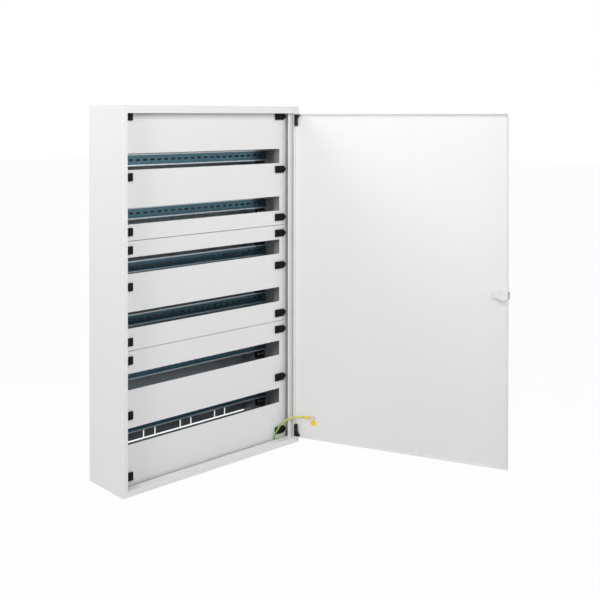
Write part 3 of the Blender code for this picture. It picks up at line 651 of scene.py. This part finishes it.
class GeometryWiring(Wiring):
    """Wiring with what only the geometry trees use."""

    def vector(self, x=0.0, y=0.0, z=0.0):
        return self.add("ShaderNodeCombineXYZ", X=x, Y=y, Z=z).outputs[0]

    def finish(self, geometry, material):
        """Ends the tree with real meshes and their material."""
        realised = self.add("GeometryNodeRealizeInstances", Geometry=geometry).outputs[0]
        coloured = self.add("GeometryNodeSetMaterial", Geometry=realised)
        coloured.inputs["Material"].default_value = material
        out = self.add("NodeGroupOutput")
        self.join(out, "0", coloured.outputs[0])


def geometry_tree(name, inputs):
    tree = new_group(
        name,
        "GeometryNodeTree",
        [("Geometry", "NodeSocketGeometry", None), *inputs],
        [("Geometry", "NodeSocketGeometry")],
    )
    wires = GeometryWiring(tree)
    return tree, wires, wires.add("NodeGroupInput").outputs


def apply_tree(obj, tree, **values):
    """Runs a tree on an object with its inputs set, and keeps the plain mesh."""
    modifier = obj.modifiers.new(tree.name, "NODES")
    modifier.node_group = tree
    for item in tree.interface.items_tree:
        key = item.name.replace(" ", "_").lower()
        if item.in_out == "INPUT" and key in values:
            modifier[item.identifier] = values[key]
    return make_plain(obj)


def perforated_rows_tree():
    """Cuts a row of round-ended holes in a bar, then repeats the bar downwards."""
    tree, wires, given = geometry_tree(
        "Perforated rails",
        [
            ("Hole pitch", "NodeSocketFloat", 0.025),
            ("Hole length", "NodeSocketFloat", 0.015),
            ("Hole width", "NodeSocketFloat", 0.0062),
            ("Holes", "NodeSocketInt", 22),
            ("First hole", "NodeSocketVector", None),
            ("Rows", "NodeSocketInt", ROWS),
            ("Row pitch", "NodeSocketFloat", 0.15),
        ],
    )
    outline = wires.add(
        "GeometryNodeCurvePrimitiveQuadrilateral",
        Width=given["Hole length"],
        Height=given["Hole width"],
    )
    corner = wires.math("MULTIPLY", given["Hole width"], 0.499)
    rounded = wires.add(
        "GeometryNodeFilletCurve",
        {"mode": "POLY"},
        Curve=outline.outputs[0],
        Count=6,
        Radius=corner,
    )
    disc = wires.add("GeometryNodeFillCurve", Curve=rounded.outputs[0]).outputs[0]
    pushed = wires.add(
        "GeometryNodeExtrudeMesh", Mesh=disc, Offset_Scale=PUNCH_DEPTH, Individual=False
    )
    back = wires.add("GeometryNodeFlipFaces", Mesh=disc).outputs[0]
    both = wires.add("GeometryNodeJoinGeometry")
    for part in (pushed.outputs["Mesh"], back):
        tree.links.new(part, both.inputs[0])
    cutter = wires.add("GeometryNodeMergeByDistance", Geometry=both.outputs[0], Distance=0.00001)
    upright = wires.add(
        "GeometryNodeTransform",
        Geometry=cutter.outputs[0],
        Rotation=(math.pi / 2, 0.0, 0.0),
        Translation=(0.0, PUNCH_DEPTH / 2, 0.0),
    )
    line = wires.add(
        "GeometryNodeMeshLine",
        Count=given["Holes"],
        Start_Location=given["First hole"],
        Offset=wires.vector(x=wires.math("MULTIPLY", given["Hole pitch"], -1.0)),
    )
    cutters = wires.add(
        "GeometryNodeInstanceOnPoints", Points=line.outputs[0], Instance=upright.outputs[0]
    )
    solid = wires.add("GeometryNodeRealizeInstances", Geometry=cutters.outputs[0])
    cut = wires.add("GeometryNodeMeshBoolean", {"operation": "DIFFERENCE"})
    tree.links.new(given["Geometry"], cut.inputs["Mesh 1"])
    tree.links.new(solid.outputs[0], cut.inputs["Mesh 2"])
    down = wires.vector(z=wires.math("MULTIPLY", given["Row pitch"], -1.0))
    rows = wires.add("GeometryNodeMeshLine", Count=given["Rows"], Offset=down)
    rails = wires.add(
        "GeometryNodeInstanceOnPoints", Points=rows.outputs[0], Instance=cut.outputs[0]
    )
    wires.finish(rails.outputs[0], MATERIALS["zinc_blue"])
    return tree


def along_points_tree(name, material):
    """Puts the mesh of another object on each vertex of this one."""
    tree, wires, given = geometry_tree(name, [("Piece", "NodeSocketObject", None)])
    piece = wires.add("GeometryNodeObjectInfo", Object=given["Piece"])
    placed = wires.add(
        "GeometryNodeInstanceOnPoints",
        Points=given["Geometry"],
        Instance=piece.outputs["Geometry"],
    )
    wires.finish(placed.outputs[0], MATERIALS[material])
    return tree


def repeated(name, shape, places, material):
    """Copies of a shape at several places, as one plain mesh."""
    pattern = object_from(name + "_pattern", shape, material)
    points = bpy.data.meshes.new(name)
    points.from_pydata([tuple(place) for place in places], [], [])
    obj = bpy.data.objects.new(name, points)
    bpy.context.scene.collection.objects.link(obj)
    apply_tree(obj, along_points_tree(name, material), piece=pattern)
    bpy.data.objects.remove(pattern)
    return obj


# -------------------------------------------------------------------------------------------------
# Pieces
# -------------------------------------------------------------------------------------------------


class CabinetOperator:
    """What the operators share."""

    bl_options = {"REGISTER", "UNDO"}

    @property
    def sizes(self):
        return bpy.context.scene.cabinet_sizes


class CABINET_OT_finishes(CabinetOperator, bpy.types.Operator):
    """Makes the finishes that the other steps use"""

    bl_idname = "cabinet.finishes"
    bl_label = "Finishes"

    def execute(self, context):
        make_materials()
        return {"FINISHED"}


class CABINET_OT_case(CabinetOperator, bpy.types.Operator):
    """Case, rear wall, cover ledges and the uprights behind the rails"""

    bl_idname = "cabinet.case"
    bl_label = "Case"

    def execute(self, context):
        edge = self.sizes.sheet_edge
        finished_copy("case_shell", "case", "powder_white", edge)
        # The rear wall is galvanised sheet whose dark tint is also painted shade inside the case,
        # behind the slots.
        finished_copy("rear_wall", "case", "galvanised", edge)
        for side in SIDES:
            finished_copy(f"cover_ledge_{side}", "case", "powder_white", edge)
            finished_copy(f"upright_{side}", "case", "galvanised", edge)
        return {"FINISHED"}


def bend_points(corner, before, after, radius, steps=4):
    """A rounded corner of a section: points of the arc between the two legs."""
    corner, before, after = Vector(corner), Vector(before), Vector(after)
    start = corner + (before - corner).normalized() * radius
    end = corner + (after - corner).normalized() * radius
    points = []
    for step in range(steps + 1):
        t = step / steps
        points.append(tuple((1 - t) ** 2 * start + 2 * t * (1 - t) * corner + t * t * end))
    return points


def rail_section():
    """The rail's section with bent corners: (back, up), the front at back = 0."""
    low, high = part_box("din_rail_1")
    depth, half = high.y - low.y, (high.z - low.z) / 2
    crown, sheet = RAIL_CROWN / 2, RAIL_SHEET
    corners = [
        ((depth, crown), RAIL_BEND),
        ((depth, -crown), RAIL_BEND),
        ((sheet, -crown), 0.0),
        ((sheet, -half), 0.0),
        ((0.0, -half), 0.0),
        ((0.0, sheet - crown), RAIL_BEND),
        ((depth - sheet, sheet - crown), 0.0),
        ((depth - sheet, crown - sheet), 0.0),
        ((0.0, crown - sheet), RAIL_BEND),
        ((0.0, half), 0.0),
        ((sheet, half), 0.0),
        ((sheet, crown), 0.0),
    ]
    section = []
    for i, (corner, radius) in enumerate(corners):
        before, after = corners[i - 1][0], corners[(i + 1) % len(corners)][0]
        section += bend_points(corner, before, after, radius) if radius else [corner]
    return section


def rail_bar():
    """The first rail without its holes."""
    low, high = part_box("din_rail_1")
    middle = (low.z + high.z) / 2
    shape = bmesh.new()
    ends = [
        [shape.verts.new((x, low.y + back, middle + up)) for back, up in rail_section()]
        for x in (low.x, high.x)
    ]
    shape.faces.new(ends[0])
    shape.faces.new(list(reversed(ends[1])))
    count = len(ends[0])
    for i in range(count):
        j = (i + 1) % count
        shape.faces.new((ends[0][j], ends[0][i], ends[1][i], ends[1][j]))
    return close_faces(shape)


class CABINET_OT_rails(CabinetOperator, bpy.types.Operator):
    """The top-hat rails with their rows of holes"""

    bl_idname = "cabinet.rails"
    bl_label = "Rails"

    def execute(self, context):
        low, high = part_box("din_rail_1")
        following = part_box("din_rail_2")[0]
        sizes = self.sizes
        obj = object_from("din_rails", rail_bar(), "zinc_blue")
        apply_tree(
            obj,
            perforated_rows_tree(),
            hole_pitch=sizes.hole_pitch,
            hole_length=sizes.hole_length,
            hole_width=sizes.hole_width,
            holes=sizes.holes,
            first_hole=(high.x - FIRST_HOLE_IN, high.y, (low.z + high.z) / 2),
            rows=ROWS,
            row_pitch=low.z - following.z,
        )
        shade_round(obj, 35)
        self.paint_lip_highlight(obj.data, low.y)
        seat(obj, "case", "zinc_blue", *[f"din_rail_{row}" for row in range(1, ROWS + 1)])
        return {"FINISHED"}

    def paint_lip_highlight(self, mesh, front):
        """Marks the rails' front lips, which the rail finish makes lighter as a painted highlight.
        """
        rubbed = mesh.attributes.new("rubbed", "FLOAT", "POINT")
        for vertex, mark in zip(mesh.vertices, rubbed.data):
            mark.value = 1.0 if vertex.co.y < front + LIP_DEPTH else 0.0


def screw_head(diameter, axis):
    """A pan head with a cross recess, its seat at the origin and its top along the axis."""
    radius = diameter / 2
    shape = bmesh.new()
    profile = [
        (0.0, 0.0),
        (radius, 0.0),
        (radius, radius * 0.3),
        (radius * 0.86, radius * 0.55),
        (radius * 0.55, radius * 0.66),
        (radius * 0.34, radius * 0.66),
        (radius * 0.26, radius * 0.25),
        (0.0, radius * 0.2),
    ]
    add_turned(shape, (0, 0, 0), axis, profile, 16)
    return close_faces(shape)


class CABINET_OT_carriers(CabinetOperator, bpy.types.Operator):
    """The black plastic blocks that carry the rails' ends, and their screws"""

    bl_idname = "cabinet.carriers"
    bl_label = "Rail carriers"

    def execute(self, context):
        screws = []
        for side in SIDES:
            for row in range(1, ROWS + 1):
                node = f"rail_carrier_{side}_{row}"
                finished_copy(node, "case", "black_plastic", self.sizes.plastic_edge)
                screws += self.screw_places(node, row)
        head = screw_head(self.sizes.screw_head, (0, -1, 0))
        obj = repeated("carrier_screws", head, screws, "plain_steel")
        seat(obj, "case", "plain_steel")
        return {"FINISHED"}

    def screw_places(self, node, row):
        """Two screws in the stretch of a carrier that stands past its rail."""
        low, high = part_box(node)
        rail_low, rail_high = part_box(f"din_rail_{row}")
        below = rail_low.z - low.z > high.z - rail_high.z
        up = (low.z + rail_low.z) / 2 if below else (high.z + rail_high.z) / 2
        middle, reach = (low.x + high.x) / 2, (high.x - low.x) / 4
        return [(middle - reach, low.y, up), (middle + reach, low.y, up)]


class CABINET_OT_covers(CabinetOperator, bpy.types.Operator):
    """The three cover plates"""

    bl_idname = "cabinet.covers"
    bl_label = "Cover plates"

    def execute(self, context):
        for number in (1, 2, 3):
            finished_copy(f"cover_{number}", "case", "cover_white", self.sizes.sheet_edge)
        return {"FINISHED"}


class CABINET_OT_clips(CabinetOperator, bpy.types.Operator):
    """The sliding clips, each with grip ribs across its face"""

    bl_idname = "cabinet.clips"
    bl_label = "Cover clips"

    def execute(self, context):
        for side in SIDES:
            for number in range(1, CLIPS_PER_SIDE + 1):
                self.make_clip(f"cover_clip_{side}_{number}", side)
        return {"FINISHED"}

    def make_clip(self, node, side):
        """One clip, which is its own body, with its ribs from the inner end outwards."""
        finished_copy(node, node, "black_plastic", self.sizes.plastic_edge)
        low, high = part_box(node)
        inner = high.x if side == "left" else low.x
        step = -1 if side == "left" else 1
        places = [
            (inner + step * (RIB_FROM_END + RIB_PITCH * i), low.y, (low.z + high.z) / 2)
            for i in range(self.sizes.clip_ribs)
        ]
        shape = bmesh.new()
        size = Matrix.Diagonal((RIB_WIDTH, RIB_HEIGHT, (high.z - low.z) * RIB_SHARE, 1.0))
        bmesh.ops.create_cube(shape, size=1.0, matrix=size)
        bmesh.ops.bevel(shape, geom=shape.edges, offset=RIB_EDGE, segments=2, affect="EDGES")
        grip = repeated(node + "_ribs", shape, places, "black_plastic")
        seat(grip, node, "black_plastic")


class CABINET_OT_door(CabinetOperator, bpy.types.Operator):
    """The door pan"""

    bl_idname = "cabinet.door"
    bl_label = "Door"

    def execute(self, context):
        finished_copy("door", "door", "powder_white", self.sizes.sheet_edge)
        return {"FINISHED"}


def on_door(across, deep, up):
    """The place of a point of the shut door once it is open: across and deep are measured from the
    hinge axis, to the right and towards the wall."""
    turned = Matrix.Rotation(OPEN_ANGLE, 3, "Z") @ Vector((across, deep, 0))
    return HINGE_AXIS + turned + Vector((0, 0, up))


def door_inward():
    """The direction out of the door's inner face, with the door open."""
    return Matrix.Rotation(OPEN_ANGLE, 3, "Z") @ Vector((0, 1, 0))


class CABINET_OT_hinges(CabinetOperator, bpy.types.Operator):
    """Plastic corner pieces in the door with their screws, and the hinge pins"""

    bl_idname = "cabinet.hinges"
    bl_label = "Hinges"

    def execute(self, context):
        places = []
        for end in ENDS:
            node = f"hinge_corner_{end}"
            finished_copy(node, "door", "black_plastic", self.sizes.plastic_edge)
            finished_copy(f"hinge_pin_{end}", "case", "plain_steel", PIN_EDGE)
            low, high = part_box(node)
            up = low.z + CORNER_SCREW_UP if end == "bottom" else high.z - CORNER_SCREW_UP
            places.append(on_door(CORNER_SCREW_ACROSS, CORNER_SCREW_DEEP, up))
        head = screw_head(self.sizes.screw_head, door_inward())
        screws = repeated("corner_screws", head, places, "blackened_steel")
        seat(screws, "door", "blackened_steel")
        return {"FINISHED"}


class CABINET_OT_latch(CabinetOperator, bpy.types.Operator):
    """Latch housing and its bolt with the finger grip"""

    bl_idname = "cabinet.latch"
    bl_label = "Latch"

    def execute(self, context):
        finished_copy("latch_housing", "door", "latch_white", self.sizes.plastic_edge)
        finished_copy("latch_bolt", "latch_bolt", "bolt_grey", self.sizes.plastic_edge)
        return {"FINISHED"}


def smooth_line(points, per_span=6):
    """Points of a Catmull-Rom curve through the given points."""
    padded = [points[0], *points, points[-1]]
    line = []
    for a, b, c, d in zip(padded, padded[1:], padded[2:], padded[3:]):
        for step in range(per_span):
            t = step / per_span
            line.append(
                0.5
                * (
                    2 * b
                    + (c - a) * t
                    + (2 * a - 5 * b + 4 * c - d) * t * t
                    + (3 * b - a - 3 * c + d) * t * t * t
                )
            )
    return [*line, points[-1]]


def tube_along(line, radius, sides=20):
    """A closed tube round a line, with a UV map that is (round, along)."""
    shape = bmesh.new()
    layer = shape.loops.layers.uv.new("UVMap")
    count = len(line)
    side = Vector((1, 0, 0))
    rings = []
    for i, point in enumerate(line):
        ahead = (line[min(i + 1, count - 1)] - line[max(i - 1, 0)]).normalized()
        side = (side - ahead * side.dot(ahead)).normalized()
        across = ahead.cross(side)
        rings.append(add_ring(shape, point, radius, side, across, sides))
    for i, (first, second) in enumerate(zip(rings, rings[1:])):
        for k in range(sides):
            j = (k + 1) % sides
            face = shape.faces.new((first[k], first[j], second[j], second[k]))
            face.smooth = True
            for loop, (u, v) in zip(face.loops, ((k, i), (k + 1, i), (k + 1, i + 1), (k, i + 1))):
                loop[layer].uv = (u / sides, v / (count - 1))
    shape.faces.new(list(reversed(rings[0])))
    shape.faces.new(rings[-1])
    return shape


class CABINET_OT_earth(CabinetOperator, bpy.types.Operator):
    """Earth studs, ring lugs with yellow sleeves, the lead, and the plain mark on the door"""

    bl_idname = "cabinet.earth"
    bl_label = "Earth lead"

    def execute(self, context):
        ends = self.barrel_ends()
        for body in ("case", "door"):
            finished_copy(f"earth_stud_{body}", body, "plain_steel", STUD_EDGE)
            finished_copy(f"earth_lug_{body}", body, "tinned_copper", LUG_EDGE)
        for body, end in zip(("case", "door"), ends):
            self.make_sleeve(f"earth_sleeve_{body}", body, *end)
        self.make_lead(ends)
        self.make_mark()
        return {"FINISHED"}

    def barrel_ends(self):
        """For each lug: the middle of its barrel's mouth, and the direction out of it."""
        case_way = Vector((math.cos(CASE_LUG_TURN), math.sin(CASE_LUG_TURN), 0))
        door_way = Matrix.Rotation(OPEN_ANGLE, 3, "Z") @ Vector((1, 0, 0))
        return (
            (CASE_STUD + MOUTH_FROM_STUD * case_way, case_way),
            (on_door(*DOOR_STUD) + MOUTH_FROM_STUD * door_way, door_way),
        )

    def make_sleeve(self, name, body, mouth, outward):
        """A soft sleeve pushed over the barrel, drawn in where the lead leaves it."""
        shape = bmesh.new()
        profile = [
            (SLEEVE_BORE, -SLEEVE_LENGTH),
            (SLEEVE_RADIUS, 0.0003 - SLEEVE_LENGTH),
            (SLEEVE_RADIUS, -0.001),
            (SLEEVE_RADIUS * 0.92, SLEEVE_PAST_BARREL),
            (SLEEVE_MOUTH, SLEEVE_PAST_BARREL),
            (SLEEVE_MOUTH, -0.0002),
            (SLEEVE_BORE, -0.0004),
            (SLEEVE_BORE, -SLEEVE_LENGTH),
        ]
        add_turned(shape, mouth, outward, profile, 28)
        bmesh.ops.remove_doubles(shape, verts=shape.verts, dist=1e-6)
        obj = object_from(name, close_faces(shape), "earth_yellow")
        shade_round(obj, 40)
        seat(obj, body, "earth_yellow")

    def make_lead(self, ends):
        """The striped lead, which bends between its end in the case and its end on the door."""
        (case_mouth, case_way), (door_mouth, door_way) = ends
        route = [case_mouth + LEAD_GAP * case_way, case_mouth + LEAD_STRAIGHT * case_way]
        route += [Vector(point) for point in LEAD_ROUTE]
        route += [door_mouth + LEAD_STRAIGHT * door_way, door_mouth + LEAD_GAP * door_way]
        line = smooth_line(route)
        obj = object_from("earth_lead_striped", tube_along(line, LEAD_DIAMETER / 2), "earth_green")
        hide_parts("earth_lead")
        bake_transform(obj)

    def make_mark(self):
        """A plain yellow disc stuck on the door's inner face under the stud."""
        radius = self.sizes.mark / 2
        shape = bmesh.new()
        profile = [
            (0.0, 0.0),
            (radius, 0.0),
            (radius, MARK_THICKNESS / 2),
            (radius * 0.99, MARK_THICKNESS),
            (0.0, MARK_THICKNESS),
        ]
        add_turned(shape, on_door(*DOOR_MARK), door_inward(), profile, 40)
        mark = object_from("earth_mark", close_faces(shape), "earth_yellow")
        seat(mark, "door", "earth_yellow")


# -------------------------------------------------------------------------------------------------
# Stage
# -------------------------------------------------------------------------------------------------


def seen_ray(wires):
    """1 for what the camera, gloss and glass see, and 0 for the rest of the light."""
    path = wires.add("ShaderNodeLightPath").outputs
    seen = wires.math("MAXIMUM", path["Is Camera Ray"], path["Is Glossy Ray"])
    return wires.math("MAXIMUM", seen, path["Is Transmission Ray"])


class CABINET_OT_stage(CabinetOperator, bpy.types.Operator):
    """Floor, lights and camera"""

    bl_idname = "cabinet.stage"
    bl_label = "Stage"

    def execute(self, context):
        stage = context.scene.cabinet_stage
        self.make_floor(stage)
        self.make_world(stage)
        self.make_lights(stage)
        self.make_camera(stage)
        context.scene.view_settings.view_transform = "Standard"
        return {"FINISHED"}

    def make_floor(self, stage):
        """A wide pale floor that looks nearly white and keeps a trace of shadow."""
        up = cad_box[0][2] - stage.floor_drop
        signs = ((-1, -1), (1, -1), (1, 1), (-1, 1))
        mesh = bpy.data.meshes.new("floor")
        mesh.from_pydata(
            [(FLOOR_REACH * x, FLOOR_REACH * y, up) for x, y in signs], [], [(0, 1, 2, 3)]
        )
        made = bpy.data.materials.new("floor_white")
        made.use_nodes = True
        made.node_tree.nodes.clear()
        wires = Wiring(made.node_tree)
        matt = wires.add("ShaderNodeBsdfDiffuse", Color=(0.9, 0.9, 0.9, 1.0))
        white = wires.add("ShaderNodeEmission", Color=(1.0, 1.0, 1.0, 1.0), Strength=1.0)
        share = wires.math("MULTIPLY", seen_ray(wires), FLOOR_WHITE_SHARE)
        mix = wires.add("ShaderNodeMixShader", Fac=share)
        wires.join(mix, "1", matt.outputs[0])
        wires.join(mix, "2", white.outputs[0])
        out = wires.add("ShaderNodeOutputMaterial")
        wires.join(out, "Surface", mix.outputs[0])
        mesh.materials.append(made)
        floor = bpy.data.objects.new("floor", mesh)
        bpy.context.scene.collection.objects.link(floor)

    def make_world(self, stage):
        """A world that looks white and lights the cabinet at the sky's own brightness."""
        world = bpy.data.worlds.new("studio")
        world.use_nodes = True
        world.node_tree.nodes.clear()
        wires = Wiring(world.node_tree)
        gain = wires.math("MULTIPLY", seen_ray(wires), 1.0 - stage.sky)
        sky = wires.add(
            "ShaderNodeBackground",
            Color=(1.0, 1.0, 1.0, 1.0),
            Strength=wires.math("ADD", gain, stage.sky),
        )
        out = wires.add("ShaderNodeOutputWorld")
        wires.join(out, "Surface", sky.outputs[0])
        bpy.context.scene.world = world

    def add_area(self, name, place, target, width, power):
        """A round softbox that points at its target and isn't seen itself."""
        light = bpy.data.lights.new(name, "AREA")
        light.shape = "DISK"
        light.size = width
        light.energy = power
        obj = bpy.data.objects.new(name, light)
        obj.location = place
        way = Vector(target) - Vector(place)
        obj.rotation_euler = way.to_track_quat("-Z", "Y").to_euler()
        obj.visible_camera = False
        bpy.context.scene.collection.objects.link(obj)

    def make_lights(self, stage):
        for name, place, target, width in LAMPS:
            self.add_area(name, place, target, width, getattr(stage, name))

    def make_camera(self, stage):
        camera = bpy.data.cameras.new("camera")
        camera.lens = stage.lens
        camera.sensor_width = SENSOR_WIDTH
        camera.shift_x, camera.shift_y = CAMERA_SHIFT
        camera.clip_end = 100.0
        obj = bpy.data.objects.new("camera", camera)
        obj.location = CAMERA_PLACE
        obj.rotation_euler = CAMERA_TURN
        bpy.context.scene.collection.objects.link(obj)
        bpy.context.scene.camera = obj


# -------------------------------------------------------------------------------------------------
# Add-on
# -------------------------------------------------------------------------------------------------

STEPS = (
    CABINET_OT_finishes,
    CABINET_OT_case,
    CABINET_OT_rails,
    CABINET_OT_carriers,
    CABINET_OT_covers,
    CABINET_OT_clips,
    CABINET_OT_door,
    CABINET_OT_hinges,
    CABINET_OT_latch,
    CABINET_OT_earth,
    CABINET_OT_stage,
)
SETTINGS = {
    "cabinet_finish": CabinetFinish,
    "cabinet_sizes": CabinetSizes,
    "cabinet_stage": CabinetStage,
}


class CABINET_PT_panel(bpy.types.Panel):
    """Steps and settings of the cabinet"""

    bl_idname = "CABINET_PT_panel"
    bl_label = "Switchboard cabinet"
    bl_space_type = "VIEW_3D"
    bl_region_type = "UI"
    bl_category = "Cabinet"

    def draw(self, context):
        for name, kind in SETTINGS.items():
            box = self.layout.box()
            for setting in kind.__annotations__:
                box.prop(getattr(context.scene, name), setting)
        for step in STEPS:
            self.layout.operator(step.bl_idname)


def register():
    for name, kind in SETTINGS.items():
        bpy.utils.register_class(kind)
        setattr(bpy.types.Scene, name, PointerProperty(type=kind))
    for kind in (*STEPS, CABINET_PT_panel):
        bpy.utils.register_class(kind)


def unregister():
    for kind in reversed((*STEPS, CABINET_PT_panel)):
        bpy.utils.unregister_class(kind)
    for name, kind in SETTINGS.items():
        delattr(bpy.types.Scene, name)
        bpy.utils.unregister_class(kind)


def main():
    register()
    for step in STEPS:
        group, name = step.bl_idname.split(".")
        getattr(getattr(bpy.ops, group), name)()


if __name__ == "__main__":
    main()
